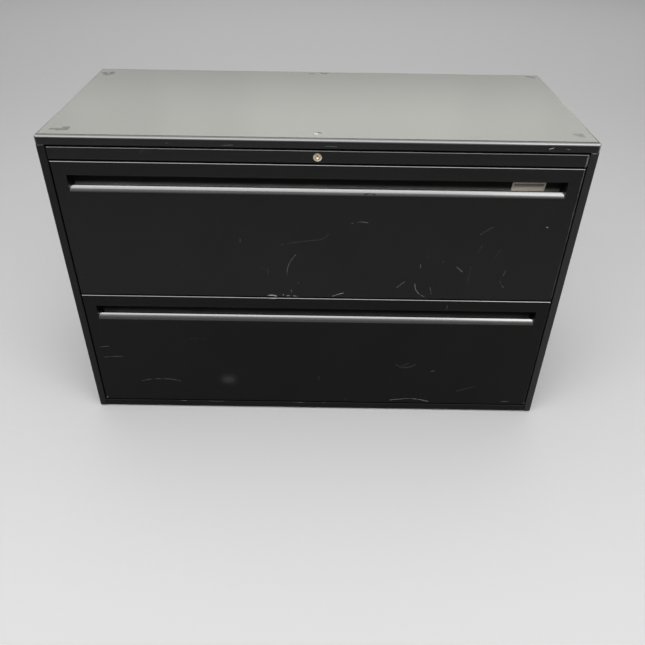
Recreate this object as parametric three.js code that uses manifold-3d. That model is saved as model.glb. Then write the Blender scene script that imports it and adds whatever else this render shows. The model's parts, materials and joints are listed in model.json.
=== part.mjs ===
// Two-drawer lateral filing cabinet in folded sheet steel.
// Millimetres. +X is the cabinet's right as seen from the front, the drawers open towards -Y, +Z is up.
// The origin lies on the floor, under the middle of the cabinet.
import * as THREE from 'three';
import { mergeVertices } from 'three/addons/utils/BufferGeometryUtils.js';
import Module from 'manifold-3d';

const wasm = await Module();
wasm.setup();

// Driving dimensions of the whole cabinet
const width = 1071;
const depth = 457;
const frontHeight = 305;
const baseRailHeight = 17.5;
const lockRailHeight = 25.6;
const topSkirt = 18.9;
const footProud = 4;
const frontGap = 3.2;
const topGap = 4.6;
const sideGap = 2.6;
const frontSetback = 1.5;
const topOverhang = 1;

// Sheet steel, clearances and fineness of the curves
const sharpestMitreShare = 0.1;
const sheet = 1.2;
const bendRadius = 1.8;
const seat = 0.3;
const weld = 0.1;
const overrun = 5;
const bendSteps = 3;
const edgeSteps = 7;
const lipSteps = 12;
const roundSteps = 24;
const holeSteps = 10;

// Top panel
const topEdgeRadius = 8;
const topRearRadius = 1.6;
const topCornerRadius = 8;
const topHem = 16;

// Side panels
const sideFlange = 16;
const sideReturn = 14.4;
const sideRearFlange = 15;
const sideEndFlange = 12;

// Back panel and rear top rail
const backFlange = 10;
const rearRailHeight = 27;
const rearRailDepth = 23;
const rearRailDrop = 1;

// Base rail, bottom pan and base channels
const baseRailDepth = 18;
const baseRailReturn = 10;
const panFrontFlange = 8;
const panRearFlange = 13;
const channelWidth = 50;
const channelEndGap = 4.5;

// Levelling feet
const footPadRadius = 15;
const footPadHeight = 5;
const footPadEdge = 1.5;
const footStudRadius = 4;
const footStudHeight = 27;
const footBossRadius = 8;
const footBossHeight = 7;
const footInsetX = 27;
const footInsetY = 52;
const driverSlotWidth = 1.4;
const driverSlotDepth = 2.5;

// Counterweight on the pan, between the rear feet and in front of the rear uprights
const weightEndGap = 66.3;
const weightDepth = 74;
const weightHeight = 30;
const weightChamfer = 4;
const weightRearGap = 6;

// Slotted uprights
const uprightWidth = 40;
const uprightLip = 7;
const uprightSetback = 30.5;
const uprightTopGap = 2.7;
const slotsPerDrawer = 12;
const slotRowsBelow = 2;
const slotRowsAbove = 9;
const slotWidth = 5.4;
const slotHeight = 13;

// Telescopic runners
const runnerHeight = 45;
const runnerThickness = 13;
const runnerSheet = 1.5;
const runnerBend = 1;
const runnerLip = 4.3;
const runnerRise = 70;
const runnerSetback = 27;
const runnerStep = 2;
const runnerRearGap = 13;
const runnerHoleRadius = 3;
const runnerHoles = 4;
const tabReach = 4.2;
const tabSlack = 0.5;

// Drawer fronts and their pulls
const frontReturn = 18;
const frontEdgeRadius = 1.9;
const pullEndMargin = 26.6;
const pullTopInset = 28.9;
const pullLipInset = 67;
const lipRadius = 20;
const lipFlat = 0.3;
const lipFoldRadius = 1.8;
const lipLeg = 4;
const lipLap = 6;
const ceilingDepth = 22;
const cheekDepth = 40;
const troughTopDepth = 24.6;
const troughFloorDepth = 38;
const troughTopLap = 20;
const troughFloorLap = 24;

// Label holder and its card
const labelWidth = 66.4;
const labelHeight = 22;
const labelRim = 3.2;
const labelThickness = 1.8;
const labelLip = 0.6;
const labelCardThickness = 0.5;
const labelEndGap = 33.1;
const labelDrop = 50;

// Inner fronts
const innerSetback = 44;
const innerNarrowing = 11.5;
const innerLap = 38;
const ledgeDepth = 12;
const ledgeHeight = 13;
const ledgeSideGap = 1.5;
const strikeReach = 10;
const strikeThickness = 2;
const strikeHeight = 12;
const strikeDrop = 105;
const strikeClearance = 0.9;

// Drawer trays and their file bars
const trayRise = 33;
const trayTopDrop = 20;
const trayRearGap = 19.3;
const trayRoll = 12;
const trayRollLip = 8;
const beadWidth = 14;
const beadHeight = 2;
const beadCount = 6;
const barSpacing = 316;
const barDrop = 12;
const barCrown = 4;
const barThickness = 2.4;
const barHook = 4.2;
const barHookDrop = 6;

// Lock
const lockFaceRadius = 8.3;
const lockFaceChamfer = 0.5;
const barrelRadius = 7;
const barrelLength = 18;
const plugRadius = 5.2;
const plugRecess = 0.3;
const tailHalf = 2.4;
const keyWidth = 1.7;
const keyHeight = 7;
const keyDepth = 9;
const nutHalf = 9.5;
const nutThickness = 2.4;
const camReach = 7.5;
const camHub = 5.2;
const camTip = 3;
const camSheet = 1.6;
const pinRadius = 1.6;
const pinSlack = 0.6;

// Lock linkage
const lockRailDepth = 24.8;
const endTabLength = 18;
const endTabDepth = 12;
const linkSheet = 1.5;
const linkWall = 2.7;
const crankUpArm = 14;
const crankOutArm = 20;
const crankHub = 5;
const crankTip = 3.6;
const pivotRadius = 2.4;
const bracketWidth = 28;
const bracketHeight = 14;
const lockBarWidth = 8.8;
const lockBarFoot = 12;
const hookReach = 11.2;
const hookHeight = 12;
const hookRest = 3;
const guideHeight = 12;
const guideEar = 4;
const guideDrop = 72.9;

// Levels, from the floor up
const baseTop = footProud + baseRailHeight;
const drawerPitch = frontHeight + frontGap;
const lowerDrawer = baseTop + frontGap;
const upperDrawer = lowerDrawer + drawerPitch;
const lockRailBottom = upperDrawer + drawerPitch;
const lockRailTop = lockRailBottom + lockRailHeight;
const skirtBottom = lockRailTop + topGap;
const height = skirtBottom + topSkirt;
const sideTop = skirtBottom - seat;
const lockLevel = (lockRailBottom + lockRailTop) / 2;

// Planes across the cabinet, from the front back
const frontPlane = frontSetback - depth / 2;
const rearPlane = depth / 2 - topOverhang;
const backOuter = rearPlane - sheet - seat;
const backInner = backOuter - sheet;
const uprightFront = frontPlane + uprightSetback;
const uprightRear = backInner - seat - uprightWidth;
const runnerFront = frontPlane + runnerSetback;
const runnerRear = backInner - runnerRearGap;

// Half widths, from the middle out
const sideOuter = width / 2 - topOverhang;
const sideInner = sideOuter - sheet;
const openingHalf = sideOuter - sideFlange;
const frontHalf = openingHalf - sideGap;
const uprightFace = openingHalf + seat;
const trayHalf = openingHalf - runnerThickness - seat;
const innerHalf = frontHalf - innerNarrowing;
const pullHalf = frontHalf - pullEndMargin;
const insideBend = bendRadius - sheet / 2;
const trayInside = trayHalf - sheet - insideBend;

const painted = { color: 0x1f201f, roughness: 0.42, metalness: 0 };
const blackPaint = new THREE.MeshStandardMaterial(painted);
const zincPlate = new THREE.MeshStandardMaterial({ color: 0xa7a9a8, roughness: 0.38, metalness: 1 });
const nickel = new THREE.MeshStandardMaterial({ color: 0xb9ab95, roughness: 0.3, metalness: 1 });
const labelSteel = new THREE.MeshStandardMaterial({ color: 0x8f8a80, roughness: 0.4, metalness: 1 });
const cardStock = new THREE.MeshStandardMaterial({ color: 0x7d7a72, roughness: 0.8, metalness: 0 });
const footNylon = new THREE.MeshStandardMaterial({ color: 0x1b1b1b, roughness: 0.6, metalness: 0 });
const castIron = new THREE.MeshStandardMaterial({ color: 0x3a3a3a, roughness: 0.7, metalness: 1 });

// A closed triangle mesh becomes a solid that can be joined and cut.
function solidOf(geometry) {
  geometry.deleteAttribute('normal');
  geometry.deleteAttribute('uv');
  const merged = mergeVertices(geometry);
  const vertProperties = new Float32Array(merged.attributes.position.array);
  const triVerts = new Uint32Array(merged.index.array);
  return new wasm.Manifold(new wasm.Mesh({ numProp: 3, vertProperties, triVerts }));
}

function geometryOf(solid) {
  const mesh = solid.getMesh();
  const geometry = new THREE.BufferGeometry();
  geometry.setAttribute('position', new THREE.BufferAttribute(mesh.vertProperties, mesh.numProp));
  geometry.setIndex(new THREE.BufferAttribute(mesh.triVerts, 1));
  geometry.computeVertexNormals();
  return geometry;
}

function join(first, ...others) {
  return others.reduce((sum, other) => sum.add(other), first);
}

function cut(first, ...others) {
  return others.reduce((rest, other) => rest.subtract(other), first);
}

// The points of one corner, rounded with an arc that touches both of its sides.
function roundCorner(before, corner, after, radius, steps) {
  if (!radius) return [corner];
  const toBefore = before.clone().sub(corner).normalize();
  const toAfter = after.clone().sub(corner).normalize();
  const half = toBefore.angleTo(toAfter) / 2;
  const start = corner.clone().addScaledVector(toBefore, radius / Math.tan(half));
  const bisector = toBefore.clone().add(toAfter).normalize();
  const centre = corner.clone().addScaledVector(bisector, radius / Math.sin(half));
  const turn = (Math.PI - 2 * half) * Math.sign(toAfter.cross(toBefore));
  return Array.from({ length: steps + 1 }, (_, i) => start.clone().rotateAround(centre, (turn * i) / steps));
}

// Corners are [u, v], or [u, v, radius] for a rounded one.
function closedOutline(corners, steps = bendSteps) {
  const points = corners.map(([u, v]) => new THREE.Vector2(u, v));
  const last = points.length - 1;
  return points.flatMap((corner, i) => {
    const before = points[i === 0 ? last : i - 1];
    const after = points[i === last ? 0 : i + 1];
    return roundCorner(before, corner, after, corners[i][2], steps);
  });
}

// The section of a sheet folded along a path through its middle. Inner corners get the bend radius.
function foldedOutline(path, thickness = sheet, bend = bendRadius, steps = bendSteps) {
  const points = path.map(([u, v]) => new THREE.Vector2(u, v));
  const last = points.length - 1;
  const middle = points.flatMap((corner, i) => {
    if (i === 0 || i === last) return [corner];
    const [, , radius = bend, cornerSteps = steps] = path[i];
    return roundCorner(points[i - 1], corner, points[i + 1], radius, cornerSteps);
  });
  const side = (distance) => middle.map((at, i) => {
    const back = middle[Math.max(i - 1, 0)];
    const ahead = middle[Math.min(i + 1, middle.length - 1)];
    const along = ahead.clone().sub(at).normalize();
    const from = at.clone().sub(back).normalize();
    const mean = along.clone().add(from).normalize();
    const widening = distance / Math.max(mean.dot(i === 0 ? along : from), sharpestMitreShare);
    return at.clone().add(new THREE.Vector2(-mean.y, mean.x).multiplyScalar(widening));
  });
  return [...side(thickness / 2), ...side(-thickness / 2).reverse()];
}

function circle(u, v, radius, steps = roundSteps) {
  return Array.from({ length: steps }, (_, i) => {
    const angle = (2 * Math.PI * i) / steps;
    return new THREE.Vector2(u + radius * Math.cos(angle), v + radius * Math.sin(angle));
  });
}

function rectangle(u0, v0, u1, v1, radius = 0) {
  return closedOutline([[u0, v0, radius], [u1, v0, radius], [u1, v1, radius], [u0, v1, radius]]);
}

function extrude(outline, length) {
  return new THREE.ExtrudeGeometry(new THREE.Shape(outline), { depth: length, bevelEnabled: false });
}

// Outlines across X are drawn in (y, z), across Y in (x, z), and across Z in (x, y).
function acrossX(outline, from, to) {
  const turned = new THREE.Matrix4().set(0, 0, 1, from, 1, 0, 0, 0, 0, 1, 0, 0, 0, 0, 0, 1);
  return solidOf(extrude(outline, to - from).applyMatrix4(turned));
}

function acrossY(outline, from, to) {
  const turned = new THREE.Matrix4().set(1, 0, 0, 0, 0, 0, -1, to, 0, 1, 0, 0, 0, 0, 0, 1);
  return solidOf(extrude(outline, to - from).applyMatrix4(turned));
}

function acrossZ(outline, from, to) {
  return solidOf(extrude(outline, to - from).translate(0, 0, from));
}

function block(x0, x1, y0, y1, z0, z1) {
  return acrossZ(rectangle(Math.min(x0, x1), y0, Math.max(x0, x1), y1), z0, z1);
}

// The right-hand outline is drawn once; side is 1 for the right and -1 for the left.
function onSide(side, corners) {
  return corners.map(([u, ...rest]) => [side * u, ...rest]);
}

const parts = new THREE.Group();

function place(name, solid, material, group = parts) {
  const mesh = new THREE.Mesh(geometryOf(solid), material);
  mesh.name = name;
  group.add(mesh);
  return mesh;
}

const sides = [['left', -1], ['right', 1]];

// Top panel: a pan with soft front and side edges, a skirt all round and a hem turned in under it.
function topSlab(inset, low, high) {
  const x = width / 2 - inset;
  const y = depth / 2 - inset;
  const edge = Math.max(topEdgeRadius - inset, 0);
  const rear = Math.max(topRearRadius - inset, 0);
  const corner = Math.max(topCornerRadius - inset, 0);
  const lengthwise = closedOutline([[-y, low], [-y, high, edge], [y, high, rear], [y, low]], edgeSteps);
  const crosswise = closedOutline([[-x, low], [-x, high, edge], [x, high, edge], [x, low]], edgeSteps);
  const plan = rectangle(-x, -y, x, y, corner);
  return acrossX(lengthwise, -x - overrun, x + overrun)
    .intersect(acrossY(crosswise, -y - overrun, y + overrun))
    .intersect(acrossZ(plan, low - overrun, high + overrun));
}

function topPanel() {
  const hollow = topSlab(sheet, skirtBottom + sheet, height - sheet);
  const x = width / 2 - topHem;
  const y = depth / 2 - topHem;
  const hemWindow = block(-x, x, -y, y, skirtBottom - overrun, skirtBottom + sheet + seat);
  return cut(topSlab(0, skirtBottom, height), hollow, hemWindow);
}

// Side panel: front flange with its return, web and rear flange in one fold, and flanges at top and foot.
function sidePanel(side) {
  const web = sideOuter - sheet / 2;
  const front = frontPlane + sheet / 2;
  const rear = rearPlane - sheet / 2;
  const returnLeg = openingHalf + sheet / 2;
  const wrap = foldedOutline(onSide(side, [
    [returnLeg, front + sideReturn], [returnLeg, front], [web, front],
    [web, rear], [sideOuter - sideRearFlange, rear],
  ]));
  const flanges = [footProud, sideTop - sheet].map((level) => {
    return block(side * (sideOuter - sideEndFlange), side * web, front + sideReturn, rear, level, level + sheet);
  });
  return join(acrossZ(wrap, footProud, sideTop), ...flanges);
}

function backPanel() {
  const top = sideTop - sheet - seat;
  const plane = backOuter - sheet / 2;
  const fold = foldedOutline([
    [backOuter - backFlange, top - sheet / 2], [plane, top - sheet / 2], [plane, footProud + sheet + seat],
  ]);
  return acrossX(fold, insideBend - sideInner, sideInner - insideBend);
}

// Rear top rail: an inverted channel between the rear uprights.
function rearTopRail() {
  const top = sideTop - 2 * sheet - 2 * seat - rearRailDrop - sheet / 2;
  const rear = backInner - seat - sheet / 2;
  const front = rear - rearRailDepth;
  const low = top - rearRailHeight;
  const fold = foldedOutline([[front, low], [front, top], [rear, top], [rear, low]]);
  return acrossX(fold, seat - uprightFace, uprightFace - seat);
}

function baseRail() {
  const front = frontPlane + sheet / 2;
  const top = baseTop - sheet / 2;
  const foot = footProud + sheet / 2;
  const fold = foldedOutline([
    [frontPlane + baseRailDepth, top], [front, top], [front, foot], [frontPlane + baseRailReturn, foot],
  ]);
  return acrossX(fold, seat - openingHalf, openingHalf - seat);
}

// Feet stand in the corners of the base, under holes in the pan.
const footX = sideInner - footInsetX;
const footY = depth / 2 - footInsetY;
const panFloor = baseTop - seat;
const channelTop = panFloor - sheet - seat;
const feet = [
  ['front_left', -footX, -footY], ['front_right', footX, -footY],
  ['rear_left', -footX, footY], ['rear_right', footX, footY],
];

function bottomPan() {
  const plate = panFloor - sheet / 2;
  const front = frontPlane + baseRailDepth + seat + sheet / 2;
  const rear = backInner - seat - sheet / 2;
  const fold = foldedOutline([
    [front, plate - panFrontFlange], [front, plate], [rear, plate], [rear, plate - panRearFlange],
  ]);
  const bores = feet.map(([, x, y]) => {
    return acrossZ(circle(x, y, footStudRadius + 2 * seat), plate - sheet, plate + sheet);
  });
  return cut(acrossX(fold, seat - sideInner, sideInner - seat), ...bores);
}

// Base channel: open below, with a threaded boss for the stud of each levelling foot.
function baseChannel(side) {
  const middle = side * footX;
  const half = channelWidth / 2 - sheet / 2;
  const top = channelTop - sheet / 2;
  const foot = footProud + sheet + seat;
  const fold = foldedOutline([
    [middle - half, foot], [middle - half, top], [middle + half, top], [middle + half, foot],
  ]);
  const from = frontPlane + baseRailDepth + channelEndGap;
  const to = backInner - channelEndGap;
  const levels = [channelTop - sheet - footBossHeight, channelTop - sheet / 2];
  const bosses = [-footY, footY].map((y) => acrossZ(circle(middle, y, footBossRadius), ...levels));
  const bores = [-footY, footY].map((y) => {
    return acrossZ(circle(middle, y, footStudRadius + seat), levels[0] - overrun, channelTop + overrun);
  });
  return cut(join(acrossY(fold, from, to), ...bosses), ...bores);
}

// Levelling foot: pad and stud turned in one, with a driver slot in the stud's top end.
function levellingFoot() {
  const profile = [
    [0, 0], [footPadRadius - footPadEdge, 0], [footPadRadius, footPadEdge], [footPadRadius, footPadHeight],
    [footStudRadius, footPadHeight], [footStudRadius, footStudHeight], [0, footStudHeight],
  ].map(([r, z]) => new THREE.Vector2(r, z));
  const turned = new THREE.LatheGeometry(profile, roundSteps);
  const foot = solidOf(turned.rotateX(Math.PI / 2));
  const slotFloor = footStudHeight - driverSlotDepth;
  const reach = footStudRadius + overrun;
  const halfSlot = driverSlotWidth / 2;
  return cut(foot, block(-reach, reach, -halfSlot, halfSlot, slotFloor, footStudHeight + overrun));
}

function counterweight() {
  const rear = uprightRear - weightRearGap;
  const low = baseTop;
  const high = low + weightHeight;
  const front = rear - weightDepth;
  const section = closedOutline([
    [front, low], [front, high - weightChamfer], [front + weightChamfer, high],
    [rear - weightChamfer, high], [rear, high - weightChamfer], [rear, low],
  ]);
  const half = footX - footBossRadius - weightEndGap;
  return acrossX(section, -half, half);
}

// Slotted upright: a lipped channel with a ladder of slots, level with the runners' hanging tabs.
const slotPitch = drawerPitch / slotsPerDrawer;
const slotRows = slotRowsBelow + slotsPerDrawer + slotRowsAbove;
const firstSlot = lowerDrawer + runnerRise - slotRowsBelow * slotPitch;

function slottedUpright(side, from) {
  const web = uprightFace + sheet / 2;
  const outer = sideInner - seat - sheet / 2;
  const front = from + sheet / 2;
  const rear = from + uprightWidth - sheet / 2;
  const section = foldedOutline(onSide(side, [
    [outer, front + uprightLip], [outer, front], [web, front],
    [web, rear], [outer, rear], [outer, rear - uprightLip],
  ]));
  const middle = from + uprightWidth / 2;
  const slots = Array.from({ length: slotRows + 1 }, (_, row) => {
    const level = firstSlot + row * slotPitch;
    const [y0, y1] = [middle - slotWidth / 2, middle + slotWidth / 2];
    const [z0, z1] = [level - slotHeight / 2, level + slotHeight / 2];
    return block(side * (web - sheet), side * (web + sheet), y0, y1, z0, z1);
  });
  return cut(acrossZ(section, baseTop, lockRailTop - uprightTopGap), ...slots);
}

// Telescopic runner, drawn across Y with its middle at the group's origin. The cabinet member holds the
// middle member by its lips, and the middle member holds the drawer member in the same way.
const runnerFlange = runnerHeight / 2;
const middleFlange = runnerFlange - runnerSheet - seat;
const drawerFlange = middleFlange - runnerSheet - seat;
const middleReach = runnerThickness - 2 * runnerSheet - 2 * seat - (runnerSheet - seat);
const drawerLeg = middleFlange - runnerLip - seat;

function channelSection(side, from, reach, flange, lip) {
  const half = runnerSheet / 2;
  const web = openingHalf - from - half;
  const tip = openingHalf - reach + half;
  const level = flange - half;
  const corners = [[tip, flange - lip], [tip, level], [web, level], [web, -level], [tip, -level], [tip, lip - flange]];
  return foldedOutline(onSide(side, corners), runnerSheet, runnerBend);
}

function webHoles(side, x, from, to) {
  const pitch = (to - from) / runnerHoles;
  return Array.from({ length: runnerHoles }, (_, i) => {
    const at = circle(from + (i + 0.5) * pitch, 0, runnerHoleRadius, holeSteps);
    return acrossX(at, side * x - runnerSheet, side * x + runnerSheet);
  });
}

function cabinetRunner(side) {
  const reach = middleReach + runnerSheet + seat;
  const rail = acrossY(channelSection(side, 0, reach, runnerFlange, runnerLip), runnerFront, runnerRear);
  const holes = webHoles(side, openingHalf - runnerSheet / 2, runnerFront, runnerRear);
  const tabs = [uprightFront, uprightRear].map((from) => {
    const middle = from + uprightWidth / 2;
    const half = slotWidth / 2 - tabSlack;
    const tall = slotHeight / 2 - tabSlack;
    const tip = openingHalf + tabReach;
    return block(side * (openingHalf - runnerSheet / 2), side * tip, middle - half, middle + half, -tall, tall);
  });
  return join(cut(rail, ...holes), ...tabs);
}

function middleRunner(side) {
  const section = channelSection(side, runnerSheet + seat, middleReach, middleFlange, runnerLip);
  return acrossY(section, runnerFront + runnerStep, runnerRear - runnerStep);
}

function drawerRunner(side) {
  const half = runnerSheet / 2;
  const foot = openingHalf - (middleReach - runnerSheet - seat - half);
  const web = openingHalf - runnerThickness + half;
  const leg = drawerLeg - half;
  const corners = [[foot, drawerFlange], [foot, leg], [web, leg], [web, -leg], [foot, -leg], [foot, -drawerFlange]];
  const section = foldedOutline(onSide(side, corners), runnerSheet, runnerBend);
  const [from, to] = [frontPlane + trayFront, frontPlane + trayRear];
  return cut(acrossY(section, from, to), ...webHoles(side, web, from, to));
}

// Drawer pieces are drawn with the front's outer face at y = 0 and its bottom edge at z = 0.
const pullEdge = frontHeight - pullTopInset;
const lipFoot = frontHeight - pullLipInset;
const troughTop = pullEdge + sheet + seat + sheet / 2;
const troughFloor = lipFoot - lipLeg - seat - sheet / 2;
const trayTop = frontHeight - trayTopDrop;
const trayFront = innerSetback + sheet + seat;
const trayRear = backInner - trayRearGap - frontPlane;
const strikeTop = frontHeight - strikeDrop;

// A block with soft edges round its closed face, which is the face of a pan that its flanges turn away from.
function panEnvelope(half, low, high, closed, open, radius) {
  const upright = closedOutline([[closed, low, radius], [open, low], [open, high], [closed, high, radius]]);
  const plan = closedOutline([[-half, closed, radius], [half, closed, radius], [half, open], [-half, open]]);
  return acrossX(upright, -half, half).intersect(acrossZ(plan, low, high));
}

// The lip of a pull: the skin leaves the front in a wide roll, leans over and turns down in a tight fold.
const lipTurn = (5 * Math.PI) / 18;
const lipSkin = sheet / 2;
const lipRoll = lipRadius - lipSkin;
const lipRise = lipRoll * Math.tan(lipTurn / 2);
const lipRun = lipRise + lipFlat + lipFoldRadius * Math.tan((Math.PI - lipTurn) / 2);
const lipRear = lipSkin + lipRun * Math.sin(lipTurn);
const lipPath = [
  [lipSkin, lipFoot - lipLap], [lipSkin, lipFoot + lipRise, lipRoll, lipSteps],
  [lipRear, lipFoot + lipRise + lipRun * Math.cos(lipTurn), lipFoldRadius, 2 * bendSteps],
  [lipRear, lipFoot - lipLeg],
];

// Drawer front: a shallow pan with a window for the pull. Below the window the skin rolls over into the
// lip, above it the skin folds straight back into the ceiling, and a cheek closes each end.
function drawerFront() {
  const outer = panEnvelope(frontHalf, 0, frontHeight, 0, frontReturn, frontEdgeRadius);
  const inner = panEnvelope(
    frontHalf - sheet, sheet, frontHeight - sheet, sheet, frontReturn + overrun, frontEdgeRadius - sheet,
  );
  const foldTop = pullEdge + bendRadius + sheet / 2;
  const window = block(-pullHalf, pullHalf, -overrun, sheet + seat, lipFoot, foldTop);
  const skin = sheet / 2;
  const lip = foldedOutline(lipPath);
  const ceiling = foldedOutline([[skin, foldTop + lipLap], [skin, pullEdge + skin], [ceilingDepth, pullEdge + skin]]);
  const span = pullHalf + weld;
  const cheeks = sides.map(([, side]) => {
    return block(side * pullHalf, side * (pullHalf + sheet), skin, cheekDepth, troughFloor, foldTop);
  });
  return join(cut(outer, inner, window), acrossX(lip, -span, span), acrossX(ceiling, -span, span), ...cheeks);
}

// Pull trough: roof, leaning back wall and floor of the finger pocket, folded in one.
function pullTrough() {
  const fold = foldedOutline([
    [troughTopDepth - troughTopLap, troughTop], [troughTopDepth, troughTop],
    [troughFloorDepth, troughFloor], [troughFloorDepth - troughFloorLap, troughFloor],
  ]);
  return acrossX(fold, seat - pullHalf, pullHalf - seat);
}

// Label holder: a rimmed frame with a pocket behind its window, on the trough's leaning wall.
const wallLean = Math.atan2(troughFloorDepth - troughTopDepth, troughTop - troughFloor);
const labelLevel = frontHeight - labelDrop;
const labelCentre = pullHalf - labelEndGap - labelWidth / 2;
const labelPlane = troughTopDepth + (troughTop - labelLevel) * Math.tan(wallLean);

function labelPlate(insetBy, from, to) {
  const x = labelWidth / 2 - insetBy;
  const z = labelHeight / 2 - insetBy;
  return acrossY(rectangle(-x, -z, x, z, Math.max(labelRim / 2 - insetBy / 2, 0)), from, to);
}

function labelHolder() {
  const back = -sheet / 2 - seat;
  const front = back - labelThickness;
  const window = labelPlate(labelRim, front - overrun, back + overrun);
  const pocket = labelPlate(labelRim / 2, front + labelLip, back + overrun);
  return cut(labelPlate(0, front, back), window, pocket);
}

function labelCard() {
  const front = -sheet / 2 - labelThickness + labelLip;
  return labelPlate(labelRim / 2 + seat, front, front + labelCardThickness);
}

// Inner front: closes the front's hollow from behind, carries the hanging ledge and the strike tab.
function innerFront() {
  const skin = sheet / 2;
  const low = sheet + seat;
  const high = frontHeight - sheet - seat;
  const plate = innerSetback + skin;
  const lap = innerSetback - innerLap;
  const back = innerSetback + sheet;
  const radius = bendRadius + skin;
  const outer = panEnvelope(innerHalf, low, high, back, lap, radius);
  const hollow = panEnvelope(
    innerHalf - sheet, low + sheet, high - sheet, innerSetback, lap - overrun, radius - sheet,
  );
  const ledgeFoot = trayTop - ledgeHeight + skin;
  const ledge = foldedOutline([
    [plate, ledgeFoot], [plate + ledgeDepth, ledgeFoot], [plate + ledgeDepth, trayTop],
  ]);
  const ledgeHalf = trayHalf - trayRoll - sheet - ledgeSideGap;
  const strikeFront = lockPlane + linkSheet + strikeClearance - frontPlane;
  const strike = block(
    innerHalf - skin, innerHalf + strikeReach, strikeFront, strikeFront + strikeThickness,
    strikeTop - strikeHeight, strikeTop,
  );
  return join(cut(outer, hollow), acrossX(ledge, -ledgeHalf, ledgeHalf), strike);
}

function traySide(side) {
  const skin = sheet / 2;
  const web = trayHalf - skin;
  const roll = trayHalf - trayRoll;
  const fold = foldedOutline(onSide(side, [
    [roll, trayRise + skin], [web, trayRise + skin], [web, trayTop - skin],
    [roll, trayTop - skin], [roll, trayTop - trayRollLip],
  ]));
  const trim = block(
    side * (roll - overrun), side * trayInside, trayRear - trayRoll - 2 * sheet - seat, trayRear + overrun,
    trayTop - trayRollLip - overrun, trayTop + overrun,
  );
  return cut(acrossY(fold, trayFront, trayRear), trim);
}

// Tray bottom: stiffened by beads pressed up from below, running front to back.
function trayBottom() {
  const half = trayInside;
  const level = trayRise + sheet + seat + sheet / 2;
  const pitch = (2 * half) / beadCount;
  const path = [[-half, level]];
  for (let i = 0; i < beadCount; i += 1) {
    const middle = -half + (i + 0.5) * pitch;
    path.push([middle - beadWidth / 2, level, 0], [middle - beadWidth / 4, level + beadHeight, 0]);
    path.push([middle + beadWidth / 4, level + beadHeight, 0], [middle + beadWidth / 2, level, 0]);
  }
  path.push([half, level]);
  return acrossY(foldedOutline(path), trayFront, trayRear - sheet - seat);
}

function trayBack() {
  const skin = sheet / 2;
  const plane = trayRear - skin;
  const half = trayInside - seat;
  const fold = foldedOutline([
    [plane, trayRise + sheet + seat], [plane, trayTop - skin],
    [plane - trayRoll, trayTop - skin], [plane - trayRoll, trayTop - trayRollLip],
  ]);
  return acrossX(fold, -half, half);
}

// File bar: a flat bar that hooks over the ledge and lies on the tray back's rolled edge.
function fileBar(x) {
  const legFront = innerSetback + ledgeDepth - seat;
  const legBack = innerSetback + ledgeDepth + sheet + seat;
  const rollFront = trayRear - trayRoll - sheet - seat;
  const rest = trayTop + seat;
  const crown = rest + barCrown;
  const outline = closedOutline([
    [legFront - barHook, trayTop - barHookDrop], [legFront - barHook, crown, barCrown / 2],
    [trayRear - seat, crown, barCrown / 2], [trayRear - seat, rest], [rollFront, rest],
    [rollFront, trayTop - barDrop], [legBack, trayTop - barDrop], [legBack, rest], [legFront, rest],
    [legFront, trayTop - barHookDrop],
  ]);
  return acrossX(outline, x - barThickness / 2, x + barThickness / 2);
}

// Lock. The plug turns a quarter, its cam pushes the link sideways, the link rocks the bell crank and the
// crank pulls the lock bar down until its hooks stand in front of the drawers' strike tabs.
const lockTurn = Math.PI / 2;
const halfTurn = lockTurn / 2;
const linkTravel = 2 * camReach * Math.sin(halfTurn);
const crankSwing = 2 * Math.asin(linkTravel / 2 / crankUpArm);
const barTravel = 2 * crankOutArm * Math.sin(crankSwing / 2);
const lockRailBack = frontPlane + lockRailDepth;
const lockPlane = lockRailBack + seat;
const crankPlane = lockPlane + linkSheet + seat;
const bracketPlane = crankPlane + linkSheet + seat;
const linkLevel = lockLevel + (camReach * (1 + Math.cos(halfTurn))) / 2;
const pivotLevel = linkLevel - (crankUpArm * (1 + Math.cos(crankSwing / 2))) / 2;
const barInner = uprightFace + sheet + seat;
const barMiddle = barInner + lockBarWidth / 2;
const pivotX = barMiddle - (crankOutArm * (1 + Math.cos(crankSwing / 2))) / 2;
const slotHalf = pinRadius + pinSlack;

// A point that lies reach away from the middle, turned clockwise from straight up as seen from the front.
function clockPoint(x, z, reach, turn) {
  return [x + reach * Math.sin(turn), z + reach * Math.cos(turn)];
}

// An arm with round ends between two points, drawn across Y.
function arm(from, to, fromRadius, toRadius, front, rear) {
  const lean = Math.atan2(to[0] - from[0], to[1] - from[1]);
  const reach = Math.hypot(to[0] - from[0], to[1] - from[1]);
  const spread = Math.acos((fromRadius - toRadius) / reach);
  const half = (centre, radius, start, end) => Array.from({ length: edgeSteps + 1 }, (_, i) => {
    const [x, z] = clockPoint(...centre, radius, lean + start + ((end - start) * i) / edgeSteps);
    return new THREE.Vector2(x, z);
  });
  const outline = [
    ...half(from, fromRadius, spread, 2 * Math.PI - spread), ...half(to, toRadius, -spread, spread),
  ];
  return acrossY(outline, front, rear);
}

function lockRail() {
  const skin = sheet / 2;
  const front = frontPlane + skin;
  const low = lockRailBottom + skin;
  const high = lockRailTop - skin;
  const fold = foldedOutline([[lockRailBack, high], [front, high], [front, low], [lockRailBack, low]]);
  const tabPlane = frontPlane + sheet + skin - weld;
  const tabSide = openingHalf - seat - skin;
  const tabs = sides.map(([, side]) => acrossZ(foldedOutline(onSide(side, [
    [frontHalf - endTabLength, tabPlane], [tabSide, tabPlane], [tabSide, tabPlane + endTabDepth],
  ])), lockRailBottom + sheet + bendRadius, lockRailTop - sheet - bendRadius));
  const bore = acrossY(circle(0, lockLevel, barrelRadius + seat), frontPlane - overrun, frontPlane + overrun);
  return cut(join(acrossX(fold, -frontHalf, frontHalf), ...tabs), bore);
}

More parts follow.
